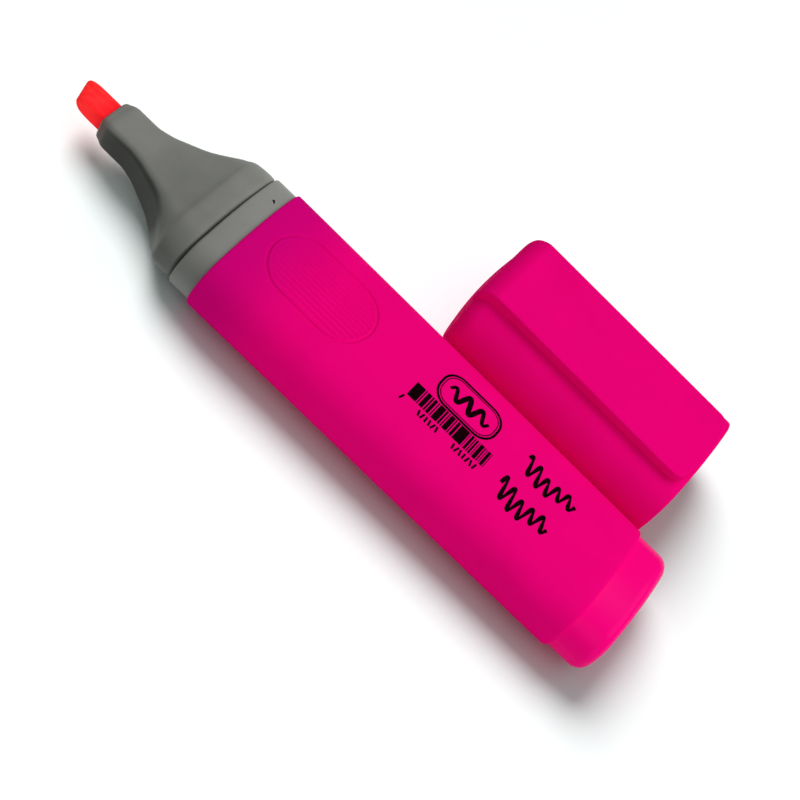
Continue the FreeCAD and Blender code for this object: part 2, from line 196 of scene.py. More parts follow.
# clip: foot, pull and crest are the (x, height) points of its ramp in the cap's own frame
CLIP_HALF_WIDTH = 7.9
CLIP_TOP = 17.8
CLIP_FOOT = (0.5, 14.2)
CLIP_RAMP_PULL = (0.8, 17.15)
CLIP_CREST = (3.4, 17.8)
CLIP_ROOT_CORNER = 1.0
CLIP_ROOT_END = 6.7
CLIP_ROOT_STEP = 0.6
CLIP_ROOT_ABOVE_AXIS = 4.5
CLIP_SLIT_START = 0.05
CLIP_EDGE = 0.3
CLIP_LOWER_EDGE = 0.08
CLIP_OVER_CAP = 0.4
CLIP_TIP_FROM_MOUTH = 0.35
CLIP_TIP_BULGE = 1.3
CLIP_TIP_BULGE_LENGTH = 14
CLIP_TIP_CORNER = 1.3
CLIP_TIP_EDGE_LOSS = 0.9
CLIP_CURVE_STEPS = 14

# prints, in mm from the barrel's front and from its axis
PRINT_LIFT = 0.03
EMBLEM_MIDDLE = (41.3, 3.25)
# length, width, corner radius and line width of the emblem's two frames
EMBLEM_FRAMES = ((11.3, 6.4, 2.7, 0.4), (10.35, 5.45, 2.25, 0.16))
EMBLEM_WAVE_LENGTH = 8.0
EMBLEM_WAVES = 3
EMBLEM_WAVE_HEIGHT = 0.8
EMBLEM_WAVE_SWELL = 0.55
EMBLEM_LINE = 0.5
EMBLEM_LINE_SWELL = 0.4

BARS_START = 33.2
BARS_END = 49.4
BARS_Y = -1.7
BARS_HALF_HEIGHT = 1.42
BAR_WIDTHS = (1.7, 0.2, 0.75, 0.3, 0.55, 0.2, 1.1, 0.35, 0.2, 0.85, 0.2, 0.5)
BAR_GAPS = (0.16, 0.22, 0.18)
BARS_NARROW_FROM = 43
BARS_NARROWER = 0.6
# first tick from the start of the bars, and how many
TICK_GROUPS = ((-0.3, 1), (3.2, 6), (10.2, 7))
TICKS_BELOW_BARS = 0.9
TICK_PITCH = 0.72
TICK_HALF_HEIGHT = 0.5
TICK_WIDTH = 0.34
TICK_LEAN = 0.16
TICK_LEAN_CHANGE = 2.3

# middle, length and phase of each flourish
SWASHES = ((58.2, 2.8, 10.0, 0.6), (57.1, -3.5, 9.8, 0.2))
SWASH_ZIGZAGS = 5
SWASH_HEIGHT = 1.9
SWASH_HEIGHT_LOSS = 0.9
SWASH_SWAY = 0.5
SWASH_SWAYS = 1.3
SWASH_LINE = 0.42
SWASH_LINE_SWELL = 0.3
SWASH_SWELL_LEAD = 0.8

COLLAR_MARK = [(-1.6, 5.95), (-1.35, 5.7), (-1.05, 5.4)]
COLLAR_MARK_WIDTHS = [0.45, 0.3, 0.05]


# ---- outlines across X, as lists of (y, z) ----
def crown_radius(half_width, half_height, side_radius):
    """Radius of the slightly crowned flats of a four-arc oval."""
    run = half_width - side_radius
    return (run**2 + half_height**2 - side_radius**2) / (2 * (half_height - side_radius))


def oval(half_width, half_height, side_radius, flat_steps=48, side_steps=24):
    """A four-arc oval: slightly crowned flats and round sides, all tangent."""
    run = half_width - side_radius
    crown = crown_radius(half_width, half_height, side_radius)
    lean = math.asin(run / (crown - side_radius))
    half = []
    for k in range(flat_steps):
        angle = lean * (1 - 2 * k / flat_steps)
        half.append((crown * math.sin(angle), half_height - crown + crown * math.cos(angle)))
    for k in range(side_steps):
        angle = (math.pi / 2 - lean) * (1 - 2 * k / side_steps)
        half.append((-run - side_radius * math.cos(angle), side_radius * math.sin(angle)))
    return half + [(-y, -z) for y, z in half]


def tapered_oval(scale, sizes, inset, *steps):
    """An oval of these sizes, scaled and then drawn in by inset."""
    return oval(*(scale * size - inset for size in sizes), *steps)


def block(half_width, half_height, corner, crown=0.0, flat_steps=28, side_steps=8, corner_steps=8):
    """A rectangle with round corners, whose flats may lose a share of their height at the sides."""
    reach_y, reach_z = half_width - corner, half_height - corner
    half = []
    for k in range(flat_steps):
        half.append((reach_y * (1 - 2 * k / flat_steps), half_height))
    for k in range(corner_steps):
        angle = math.pi / 2 * (1 + k / corner_steps)
        half.append((-reach_y + corner * math.cos(angle), reach_z + corner * math.sin(angle)))
    for k in range(side_steps):
        half.append((-half_width, reach_z * (1 - 2 * k / side_steps)))
    for k in range(corner_steps):
        angle = math.pi * (1 + k / corner_steps / 2)
        half.append((-reach_y + corner * math.cos(angle), -reach_z + corner * math.sin(angle)))
    loop = half + [(-y, -z) for y, z in half]
    return [(y, z * (1 - crown * (y / half_width) ** 2)) for y, z in loop]


def ring(x, outline, y=MARKER_Y, z=AXIS_Z):
    return [Vector((x, y + across, z + up)) for across, up in outline]


def arc_steps(radius, steps):
    """(along, inwards) pairs of a quarter round, from the end face to the side."""
    pairs = []
    for k in range(steps + 1):
        angle = math.pi / 2 * k / steps
        pairs.append((radius * (1 - math.cos(angle)), radius * (1 - math.sin(angle))))
    return pairs


def steps_between(start, end, step):
    count = max(1, round(abs(end - start) / step))
    return [start + (end - start) * k / count for k in range(count + 1)]


def smooth(value, low, high):
    share = min(1.0, max(0.0, (value - low) / (high - low)))
    return share * share * (3 - 2 * share)


def blend_table(table, x):
    """Reads a station table at x, with smooth monotone curves between its rows."""
    rows = sorted(table)
    k = 0
    while k < len(rows) - 2 and x > rows[k + 1][0]:
        k += 1
    span = rows[k + 1][0] - rows[k][0]
    t = min(1.0, max(0.0, (x - rows[k][0]) / span))
    values = []
    for column in range(1, len(rows[0])):
        def rise(i):
            """Slope from row i - 1 to row i."""
            return (rows[i][column] - rows[i - 1][column]) / (rows[i][0] - rows[i - 1][0])

        def slope(i):
            if i <= 0 or i >= len(rows) - 1:
                return rise(min(max(i, 1), len(rows) - 1))
            before, after = rise(i), rise(i + 1)
            return 0.0 if before * after <= 0 else 2 * before * after / (before + after)

        a, b = rows[k][column], rows[k + 1][column]
        ma, mb = slope(k) * span, slope(k + 1) * span
        values.append(
            a * (2 * t**3 - 3 * t**2 + 1) + ma * (t**3 - 2 * t**2 + t)
            + b * (3 * t**2 - 2 * t**3) + mb * (t**3 - t**2)
        )
    return values


# ---- meshes ----
def finish_mesh(name, bm, sharp_degrees=40):
    bmesh.ops.recalc_face_normals(bm, faces=bm.faces)
    bmesh.ops.scale(bm, vec=(MM, MM, MM), verts=bm.verts)
    mesh = bpy.data.meshes.new(name)
    bm.to_mesh(mesh)
    bm.free()
    mesh.shade_smooth()
    mesh.set_sharp_from_angle(angle=math.radians(sharp_degrees))
    piece = bpy.data.objects.new(name, mesh)
    bpy.context.scene.collection.objects.link(piece)
    return piece


def skin(bm, rings, closed_loop=False):
    """Joins rings of equal length with quads, and gives back their vertices."""
    rows = [[bm.verts.new(point) for point in points] for points in rings]
    count = len(rows[0])
    pairs = list(zip(rows, rows[1:]))
    if closed_loop:
        pairs.append((rows[-1], rows[0]))
    for row, following in pairs:
        for k in range(count):
            after = (k + 1) % count
            bm.faces.new((row[k], row[after], following[after], following[k]))
    return rows


def close_end(bm, row):
    """Draws a ring of vertices in to its middle point."""
    count = len(row)
    middle = bm.verts.new(sum((vert.co for vert in row), Vector()) / count)
    for k in range(count):
        bm.faces.new((row[k], row[(k + 1) % count], middle))


def tube_of(name, rings, sharp_degrees=40):
    """A wall whose last ring joins its first."""
    bm = bmesh.new()
    skin(bm, rings, closed_loop=True)
    return finish_mesh(name, bm, sharp_degrees)


def solid_of(name, rings, sharp_degrees=40):
    """A body closed at its first and last rings."""
    bm = bmesh.new()
    rows = skin(bm, rings)
    close_end(bm, rows[0])
    close_end(bm, rows[-1])
    return finish_mesh(name, bm, sharp_degrees)


# ---- barrel ----
def barrel_scale(x):
    return 1 - (1 - BARREL_TAPER) * (x - BARREL_FRONT) / BARREL_LENGTH


def barrel_ring(x, inset, *steps):
    return ring(x, tapered_oval(barrel_scale(x), BARREL_SIZES, inset, *steps))


def barrel_top(x, y):
    """Height of the barrel's top surface at y from its axis."""
    scale = barrel_scale(x)
    crown, half_height = crown_radius(*BARREL_SIZES) * scale, HALF_HEIGHT * scale
    return AXIS_Z + half_height - crown + math.sqrt(crown**2 - y**2)


def pad_depth(x, y):
    """How deep the thumb pad is cut at x, y: a groove round it and furrows between its ribs."""
    along = x - BARREL_FRONT - PAD_FROM_FRONT
    reach = (PAD_LENGTH - PAD_WIDTH) / 2
    past_straight = max(0.0, abs(along) - reach)
    inside = PAD_WIDTH / 2 - math.hypot(past_straight, y)
    edge = PAD_GROOVE / 3
    groove = smooth(inside, 0, edge) * (1 - smooth(inside, PAD_GROOVE - edge, PAD_GROOVE))
    pitch = (PAD_WIDTH - 2 * PAD_GROOVE) / PAD_RIBS
    wave = 0.5 + 0.5 * math.cos(2 * math.pi * y / pitch + math.pi * (PAD_RIBS % 2 == 1))
    front_share = PAD_RIB_FRONT_SHARE
    strength = front_share + (1 - front_share) * smooth(along, -PAD_LENGTH / 2, 0)
    furrow = wave * strength * smooth(inside, PAD_GROOVE, PAD_GROOVE + 2 * edge)
    return PAD_GROOVE_DEPTH * groove + PAD_RIB_DEPTH * furrow


def make_barrel():
    flat_steps, side_steps = 116, 30
    pad_start = BARREL_FRONT + PAD_FROM_FRONT - PAD_LENGTH / 2 - PAD_STEP
    pad_end = BARREL_FRONT + PAD_FROM_FRONT + PAD_LENGTH / 2 + PAD_STEP
    front = [(BARREL_FRONT + along, inset) for along, inset in arc_steps(FRONT_EDGE_ROUND, steps=4)]
    rear_edge = reversed(arc_steps(REAR_EDGE_ROUND, steps=5))
    rear = [(BARREL_REAR - along, inset) for along, inset in rear_edge]
    stations = steps_between(front[-1][0], pad_start, step=0.6)[1:]
    stations += steps_between(pad_start, pad_end, PAD_STEP)[1:]
    stations += steps_between(pad_end, rear[0][0], step=1.5)[1:-1]
    profile = front + [(x, 0) for x in stations] + rear
    profile += [(BARREL_REAR, BARREL_WALL), (BARREL_FRONT, BARREL_WALL)]
    rings = []
    for x, inset in profile:
        points = barrel_ring(x, inset, flat_steps, side_steps)
        if inset == 0:
            for point in points:
                depth = pad_depth(x, point.y - MARKER_Y)
                point.z -= math.copysign(depth, point.z - AXIS_Z)
        rings.append(points)
    return tube_of("barrel_body", rings)


def make_plug():
    """A sleeve inside the barrel, a flange behind it, and a flat back with round edges."""
    start, end = plug_low.x, plug_high.x
    flange = BARREL_REAR - PLUG_FLANGE_SUNK
    hollow_end = end - PLUG_WALL - PLUG_CORNER / 2
    profile = [
        (hollow_end, BARREL_WALL + PLUG_WALL),
        (start, BARREL_WALL + PLUG_WALL),
        (start, BARREL_WALL),
        (flange, BARREL_WALL),
        (flange, PLUG_INSET),
    ]
    side = steps_between(BARREL_REAR, end - PLUG_CORNER, step=0.9)
    profile += [(x, PLUG_INSET) for x in side]
    corner = reversed(arc_steps(PLUG_CORNER, steps=12))
    profile += [(end - along, PLUG_INSET + inset) for along, inset in corner][1:]
    rings = [barrel_ring(x, inset) for x, inset in profile]
    rim = rings[-1]
    middle = sum(rim, Vector()) / len(rim)
    for share in PLUG_END_SHARES:
        rings.append([middle + (point - middle) * share for point in rim])
    return solid_of("plug_body", rings)


def make_collar():
    front, rear = collar_low.x, collar_high.x
    socket = BARREL_WALL + COLLAR_WALL
    profile = [(front + a, COLLAR_INSET + i) for a, i in arc_steps(COLLAR_EDGE_ROUND, steps=5)]
    side = steps_between(profile[-1][0], BARREL_FRONT, step=0.9)[1:]
    profile += [(x, COLLAR_INSET) for x in side]
    profile += [(BARREL_FRONT, BARREL_WALL), (rear, BARREL_WALL), (rear, socket), (front, socket)]
    rings = [ring(x, tapered_oval(1, BARREL_SIZES, inset)) for x, inset in profile]
    return tube_of("collar_band", rings)


def make_nose():
    """The nose from its lip back to its rim, then its spigot, its hollow and the nib's channel."""
    rim = NOSE_STATIONS[-1][0]
    rings = []
    for ahead in steps_between(NOSE_STATIONS[0][0], rim, step=0.2):
        rings.append(ring(BARREL_FRONT - ahead, block(*blend_table(NOSE_STATIONS, ahead))))
    for points in rings:
        for point in points:
            slant_start = BARREL_FRONT - NOSE_RIM_SLANT_START
            near_rim = smooth(point.x, slant_start, BARREL_FRONT - rim)
            point.x += NOSE_RIM_SLANT * near_rim * (point.y - MARKER_Y) / HALF_WIDTH
    spigot = block(
        HALF_WIDTH - SPIGOT_INSET, HALF_HEIGHT - SPIGOT_INSET, SPIGOT_CORNER, SPIGOT_CROWN
    )
    hollow = block(NOSE_HOLLOW_HALF_WIDTH, NOSE_HOLLOW_HALF_HEIGHT, NOSE_HOLLOW_CORNER)
    channel = block(NIB_HALF_WIDTH + NIB_CLEARANCE, NIB_HALF_THICKNESS + NIB_CLEARANCE, NIB_CORNER)
    for x, outline in (
        (BARREL_FRONT - rim, spigot),
        (BARREL_FRONT + SPIGOT_END, spigot),
        (BARREL_FRONT + SPIGOT_END, hollow),
        (BARREL_FRONT - NOSE_HOLLOW_START, hollow),
        (BARREL_FRONT - NOSE_HOLLOW_START, channel),
        (NOSE_LIP, channel),
    ):
        rings.append(ring(x, outline))
    return tube_of("nose_body", rings, sharp_degrees=50)


def make_nib():
    """A pressed-fibre chisel: both flats are cut to a slanting edge, softened by use."""
    tip = nib_low.x
    stations = NIB_TIP_STATIONS + steps_between(NIB_FIBRES_START, NIB_FIBRES_END, step=0.22)
    stations.append(nib_high.x - tip - NIB_SLANT)
    rings = []
    for along in stations:
        wedge = math.sqrt(1 - (1 - min(1.0, along / NIB_WEDGE)) ** 2)
        half_thickness = NIB_HALF_EDGE + (NIB_HALF_THICKNESS - NIB_HALF_EDGE) * wedge
        half_thickness -= NIB_EDGE_THINNER * max(0.0, 1 - along / NIB_EDGE_ROUND) ** 2
        half_width = NIB_HALF_WIDTH - NIB_WEAR * max(0.0, 1 - along / NIB_WEAR_LENGTH) ** 2
        corner = min(NIB_CORNER, half_thickness * NIB_CORNER_LIMIT)
        outline = block(
            half_width, half_thickness, corner, flat_steps=20, side_steps=4, corner_steps=5
        )
        points = ring(tip + along, outline)
        for point in points:
            across = (point.y - MARKER_Y) / NIB_HALF_WIDTH
            point.x += NIB_SLANT / 2 * (1 - across)
            if 0 < along < NIB_FIBRES_END:
                seed = Vector([at * stretch for at, stretch in zip(point, NIB_FIBRE_STRETCH)])
                fibre_height = NIB_FIBRE_RELIEF * noise.noise(seed)
                point.z += fibre_height * math.copysign(1, point.z - AXIS_Z)
        rings.append(points)
    return solid_of("nib_chisel", rings, sharp_degrees=60)


# ---- cap ----
def cap_scale(from_mouth):
    return 1 - (1 - CAP_DRAFT) * from_mouth / CAP_LENGTH


def cap_ring(x, inset):
    outline = tapered_oval(cap_scale(CAP_LENGTH - x), CAP_SIZES, inset, *CAP_OUTLINE_STEPS)
    return ring(x, outline, 0, CAP_HALF_HEIGHT)


def cavity_ring(x, inset):
    narrower = (1 - cap_scale(CAP_LENGTH - x)) * CAP_HALF_WIDTH
    outline = tapered_oval(1, BARREL_SIZES, CAVITY_INSET + narrower + inset, *CAP_OUTLINE_STEPS)
    return ring(x, outline, 0, CAP_HALF_HEIGHT)


def domed(points, share=1.0):
    """Bends a flat ring of the cap's closed end back onto a dome, or a share of the way."""
    bent = []
    for point in points:
        from_axis = point.y**2 + (point.z - CAP_HALF_HEIGHT) ** 2
        drop = CAP_DOME_RADIUS - math.sqrt(CAP_DOME_RADIUS**2 - from_axis)
        bent.append(point + Vector((drop * share, 0, 0)))
    return bent


def drawn_in(points, share):
    """A flat ring at the cap's closed end, shrunk towards the cap's axis."""
    return [
        Vector((0, point.y * share, CAP_HALF_HEIGHT + (point.z - CAP_HALF_HEIGHT) * share))
        for point in points
    ]


def place_cap_piece(piece):
    """From the cap's own frame to its place beside the marker."""
    middle = Vector((CAP_LENGTH / 2, 0, 0))
    turn = Matrix.Rotation(math.atan2(CAP_AXIS.y, CAP_AXIS.x), 4, "Z")
    there = Matrix.Translation(Vector((CAP_MIDDLE.x, CAP_MIDDLE.y, 0)) * MM)
    piece.data.transform(there @ turn @ Matrix.Translation(-middle * MM))
    return piece


def make_cap_shell():
    """The cap from the middle of its domed end, along its side and back inside its cavity."""
    inner_rim = CAP_END_ROUND + CAP_END_RIM
    insets = [inner_rim, inner_rim - CAP_END_RIM_STEP, inner_rim - 2 * CAP_END_RIM_STEP]
    rings = [domed(cap_ring(0, inset)) for inset in insets + [CAP_END_ROUND]]
    innermost = rings[0]
    for share in CAP_DOME_SHARES:
        rings.insert(0, domed(drawn_in(innermost, share)))
    for along, inset in arc_steps(CAP_END_ROUND, steps=16)[1:]:
        fading = inset / CAP_END_ROUND
        left = CAP_DOME_AT_SIDE + (1 - CAP_DOME_AT_SIDE) * fading
        rings.append(domed(cap_ring(along, inset), left))
    side_end = CAP_LENGTH - CAP_RIM_ROUND
    profile = [(x, 0) for x in steps_between(CAP_END_ROUND + CAP_SIDE_START, side_end, step=1.5)]
    rim = reversed(arc_steps(CAP_RIM_ROUND, steps=5))
    profile += [(CAP_LENGTH - along, inset) for along, inset in rim][1:]
    rings += [cap_ring(x, inset) for x, inset in profile]
    inside = [(CAP_LENGTH, -CAVITY_CHAMFER), (CAP_LENGTH - CAVITY_CHAMFER, 0)]
    inside += [(CAP_LENGTH - from_mouth, 0) for from_mouth in CAVITY_FROM_MOUTH]
    ahead, inset = CAVITY_ROUND_END
    inside += [(CAP_END_WALL + CAVITY_ROUND_START, 0), (CAP_END_WALL + ahead, inset)]
    rings += [cavity_ring(x, inset) for x, inset in inside]
    return place_cap_piece(solid_of("cap_body", rings))


def cap_top(x, y):
    """Height of the cap's top surface at x from its closed end and y from its middle."""
    scale = cap_scale(CAP_LENGTH - x)
    crown = crown_radius(*CAP_SIZES)
    return CAP_HALF_HEIGHT * (1 + scale) - crown * scale + math.sqrt((crown * scale) ** 2 - y**2)


def clip_outline(x, half_width, top, edge, depth=None):
    """Across the clip: a flat top, round edges, sides, and a bottom at depth or over the cap."""
    def bottom(y):
        return depth if depth is not None else cap_top(x, y) + CLIP_OVER_CAP

    top_steps, edge_steps, bottom_steps = 16, 6, 12
    side_shares = (0.35, 0.7, 1.0)
    reach = half_width - edge
    half = []
    for k in range(top_steps + 1):
        half.append((-reach * k / top_steps, top))
    for k in range(1, edge_steps + 1):
        angle = math.pi / 2 * k / edge_steps
        half.append((-reach - edge * math.sin(angle), top - edge + edge * math.cos(angle)))
    side_end = bottom(-half_width) + CLIP_LOWER_EDGE
    for share in side_shares:
        half.append((-half_width, top - edge + (side_end - top + edge) * share))
    for k in range(bottom_steps + 1):
        y = -(half_width - CLIP_LOWER_EDGE) * (1 - k / bottom_steps)
        half.append((y, bottom(y)))
    return half + [(-y, z) for y, z in reversed(half[1:-1])]


def make_clip():
    """The clip and its solid root in one piece: a ramp from the closed end, then the arm."""
    tip = CAP_LENGTH - CLIP_TIP_FROM_MOUTH
    buried = CAP_HALF_HEIGHT + CLIP_ROOT_ABOVE_AXIS
    straight_end = tip - CLIP_TIP_BULGE - CLIP_TIP_CORNER
    sections = []
    for k in range(CLIP_CURVE_STEPS + 1):
        t = k / CLIP_CURVE_STEPS
        x, top = (
            (1 - t) ** 2 * a + 2 * t * (1 - t) * b + t**2 * c
            for a, b, c in zip(CLIP_FOOT, CLIP_RAMP_PULL, CLIP_CREST)
        )
        into_corner = max(0.0, CLIP_FOOT[0] + CLIP_ROOT_CORNER - x)
        turn = CLIP_ROOT_CORNER - math.sqrt(CLIP_ROOT_CORNER**2 - into_corner**2)
        sections.append((x, CLIP_HALF_WIDTH - turn, top, CLIP_EDGE * (2 - t), buried))
    for x in steps_between(CLIP_CREST[0] + CLIP_ROOT_STEP, CLIP_ROOT_END, CLIP_ROOT_STEP):
        sections.append((x, CLIP_HALF_WIDTH, CLIP_TOP, CLIP_EDGE, buried))
    for x in steps_between(CLIP_ROOT_END + CLIP_SLIT_START, straight_end, step=0.7):
        sections.append((x, CLIP_HALF_WIDTH, CLIP_TOP, CLIP_EDGE))
    for k in range(1, CLIP_CURVE_STEPS + 1):
        angle = math.pi / 2 * k / CLIP_CURVE_STEPS
        x = straight_end + CLIP_TIP_CORNER * math.sin(angle)
        half_width = CLIP_HALF_WIDTH - CLIP_TIP_CORNER * (1 - math.cos(angle))
        left = max(0.0, CLIP_EDGE - CLIP_TIP_CORNER * (1 - math.sin(angle)))
        drop = CLIP_EDGE - math.sqrt(CLIP_EDGE**2 - left**2)
        sections.append((x, half_width, CLIP_TOP - drop, CLIP_EDGE - drop * CLIP_TIP_EDGE_LOSS))
    rings = [ring(section[0], clip_outline(*section), 0, 0) for section in sections]
    for points in rings:
        for point in points:
            near_tip = smooth(point.x, straight_end - CLIP_TIP_BULGE_LENGTH, straight_end)
            point.x += CLIP_TIP_BULGE * near_tip * (1 - (point.y / CLIP_HALF_WIDTH) ** 2)
    return place_cap_piece(solid_of("clip_arm", rings, sharp_degrees=50))


# ---- prints, and a dark mark on the collar ----
def on_barrel(x, y):
    """A place on the top of the barrel, or of the collar where x is negative."""
    sunk = COLLAR_INSET if x < 0 else 0
    return Vector((BARREL_FRONT + x, MARKER_Y + y, barrel_top(BARREL_FRONT + x, y) - sunk))


def ribbon(bm, line, widths, closed=False):
    """A thin closed slab of ink along a line of (x, y) points on the barrel's top."""
    count = len(line)
    rings = []
    for k in range(count):
        before = line[k - 1] if closed or k > 0 else line[k]
        after = line[(k + 1) % count] if closed or k < count - 1 else line[k]
        dx, dy = after[0] - before[0], after[1] - before[1]
        size = math.hypot(dx, dy)
        side = (-dy / size * widths[k] / 2, dx / size * widths[k] / 2)
        points = []
        for sign, lift in ((1, 1), (-1, 1), (-1, -1), (1, -1)):
            point = on_barrel(line[k][0] + sign * side[0], line[k][1] + sign * side[1])
            points.append(point + Vector((0, 0, lift * PRINT_LIFT)))
        rings.append(points)
    rows = skin(bm, rings, closed_loop=closed)
    if not closed:
        bm.faces.new(rows[0])
        bm.faces.new(rows[-1])


def badge_line(x, y, length, width, corner, steps=10):
    """A rectangle with round corners on the barrel's top, as a closed line."""
    reach_x, reach_y = length / 2 - corner, width / 2 - corner
    line = []
    for quarter, (side_x, side_y) in enumerate(((1, 1), (-1, 1), (-1, -1), (1, -1))):
        for k in range(steps + 1):
            angle = math.pi / 2 * (quarter + k / steps)
            along = x + side_x * reach_x + corner * math.cos(angle)
            line.append((along, y + side_y * reach_y + corner * math.sin(angle)))
    return line


def make_emblem():
    """A wave in a double frame with round ends."""
    bm = bmesh.new()
    x, y = EMBLEM_MIDDLE
    for length, width, corner, stroke in EMBLEM_FRAMES:
        line = badge_line(x, y, length, width, corner)
        ribbon(bm, line, [stroke] * len(line), closed=True)
    steps = 90
    wave, widths = [], []
    for k in range(steps + 1):
        share = k / steps
        swell = math.sin(math.pi * share)
        height = EMBLEM_WAVE_HEIGHT + EMBLEM_WAVE_SWELL * swell
        along = x - EMBLEM_WAVE_LENGTH / 2 + EMBLEM_WAVE_LENGTH * share
        wave.append((along, y + height * math.sin(2 * math.pi * EMBLEM_WAVES * share)))
        widths.append(EMBLEM_LINE + EMBLEM_LINE_SWELL * swell)
    ribbon(bm, wave, widths)
    return finish_mesh("print_emblem", bm)


def make_bars():
    """A row of bars of many widths, wider at its start, with three groups of ticks below."""
    bm = bmesh.new()
    half = BARS_HALF_HEIGHT
    x, k = BARS_START, 0
    while x + BAR_WIDTHS[k % len(BAR_WIDTHS)] < BARS_END:
        width = BAR_WIDTHS[k % len(BAR_WIDTHS)] * (1.0 if x < BARS_NARROW_FROM else BARS_NARROWER)
        shares = (0, 0.25, 0.5, 0.75, 1)
        line = [(x + width / 2, BARS_Y - half + 2 * half * share) for share in shares]
        ribbon(bm, line, [width] * len(line))
        x += width + BAR_GAPS[k % len(BAR_GAPS)]
        k += 1
    y = BARS_Y - half - TICKS_BELOW_BARS
    for from_start, count in TICK_GROUPS:
        first = BARS_START + from_start
        for k in range(count):
            x = first + TICK_PITCH * k
            lean = TICK_LEAN * math.sin(TICK_LEAN_CHANGE * k + first)
            line = [(x - lean, y - TICK_HALF_HEIGHT), (x + lean, y + TICK_HALF_HEIGHT)]
            ribbon(bm, line, [TICK_WIDTH] * 2)
    return finish_mesh("print_bars", bm)


def make_swashes():
    """Two bold zigzag flourishes."""
    bm = bmesh.new()
    steps = 150
    for x, y, length, start in SWASHES:
        line, widths = [], []
        for k in range(steps + 1):
            share = k / steps
            zigzag = 2 * math.pi * SWASH_ZIGZAGS * share + start
            height = (SWASH_HEIGHT - SWASH_HEIGHT_LOSS * share) * math.sin(zigzag)
            height += SWASH_SWAY * math.sin(2 * math.pi * SWASH_SWAYS * share + 1)
            line.append((x + length * (share - 0.5), y + height))
            swell = math.sin(zigzag + SWASH_SWELL_LEAD) ** 2
            widths.append(SWASH_LINE + SWASH_LINE_SWELL * swell)
        ribbon(bm, line, widths)
    return finish_mesh("print_swashes", bm)


def make_collar_mark():
    """A small dark mark on the collar."""
    bm = bmesh.new()
    ribbon(bm, COLLAR_MARK, COLLAR_MARK_WIDTHS)
    return finish_mesh("dark_collar_mark", bm)


# ---- materials: colours are linear, lengths in mm, scales of noise per metre ----
# the pink glow stands in for the dye's fluorescence and lifts the shade on every pink part: painted
# light
FLUORESCENCE_AND_LIFT_GLOW = (1.0, 0.0, 0.1)
PINK = (0.66, 0.0006, 0.147)
PINK_DEEP = (0.62, 0.0005, 0.137)
# painted shade: a darker pink at the barrel's front edge, fading out towards the rear
PINK_FRONT_SHADE = (0.46, 0.0005, 0.14)
PINK_FRONT_SHADE_START = 1
PINK_FRONT_SHADE_END = 16.0
PLUG_PINK = (0.69, 0.0006, 0.158)
CAP_PINK = (0.56, 0.0006, 0.133)
CAP_DEEP = (0.52, 0.0006, 0.123)
GREY = (0.225, 0.23, 0.21)
GREY_DEEP = (0.185, 0.19, 0.172)
COLLAR_GREY = (0.25, 0.252, 0.235)
SEAL_WHITE = (0.7, 0.7, 0.67)
SEAL_DEEP = (0.66, 0.66, 0.63)
CLOUD_DEEP = 0.3
CLOUD_CLEAR = 0.6
SHEEN_SMOOTHER = 0.06
SHEEN_ROUGHER = 0.08

STAIN_RED = (0.3, 0.04, 0.035)
STAIN_START = 0.3
STAIN_REACH = 2.4
STAIN_SHARE = 0.5
STAIN_MIDDLE = Vector((NOSE_LIP + 0.3, MARKER_Y - 2.6, AXIS_Z + 1.0))

# painted shade: a dark grey mixed into the hollow of the nose's near flank, most where it faces -Y
FLANK_SHADE = (0.035, 0.035, 0.03)
FLANK_SHADE_SHARE = 0.9
# a flank that faces -Y counts as this much nearer to the hollow
FLANK_FACING_NEARER = 9
FLANK_SHADE_FULL = -4.5
FLANK_HOLLOW = Vector((BARREL_FRONT - 15.5, MARKER_Y - 6.3, AXIS_Z))
FLANK_STRETCH = 0.4

FIBRE_REDS = [(0.3, (0.9, 0.008, 0.014)), (0.52, (1.0, 0.02, 0.024)), (0.75, (1.0, 0.04, 0.035))]
FIBRE_GLOW_RED = (1.0, 0.02, 0.02)
SOAKED_RED = (0.7, 0.002, 0.01)
SOAKED_REACH = 3.0
SOAKED_SHARE = 0.7

INK_BLACKS = [(0.35, (0.012, 0.0005, 0.003)), (0.6, (0.002, 0.001, 0.0015))]
TABLE_WHITES = [(0.3, (0.84, 0.885, 0.88)), (0.7, (0.86, 0.905, 0.9))]


def new_material(name):
    material = bpy.data.materials.new(name)
    material.use_nodes = True
    tree = material.node_tree
    shader = tree.nodes["Principled BSDF"]
    return material, tree, shader


def set_inputs(shader, **values):
    """Sets inputs of a shader. A word's underlines stand for spaces in the input's name."""
    for name, value in values.items():
        shader.inputs[name.replace("_", " ")].default_value = value


def mapped_place(tree, scale, location=(0, 0, 0)):
    """The shaded point in the piece's own frame, scaled and then moved."""
    place = tree.nodes.new("ShaderNodeTexCoord")
    mapping = tree.nodes.new("ShaderNodeMapping")
    mapping.inputs["Scale"].default_value = scale
    mapping.inputs["Location"].default_value = location
    tree.links.new(place.outputs["Object"], mapping.inputs["Vector"])
    return mapping.outputs["Vector"]


def component(tree, vector, axis):
    split = tree.nodes.new("ShaderNodeSeparateXYZ")
    tree.links.new(vector, split.inputs["Vector"])
    return split.outputs[axis]


def along_marker(tree):
    return component(tree, tree.nodes.new("ShaderNodeTexCoord").outputs["Object"], "X")


def object_noise(tree, scale, stretch=(1, 1, 1), detail=3.0, rough=0.5):
    texture = tree.nodes.new("ShaderNodeTexNoise")
    texture.inputs["Scale"].default_value = scale
    texture.inputs["Detail"].default_value = detail
    texture.inputs["Roughness"].default_value = rough
    tree.links.new(mapped_place(tree, stretch), texture.inputs["Vector"])
    return texture.outputs["Fac"]


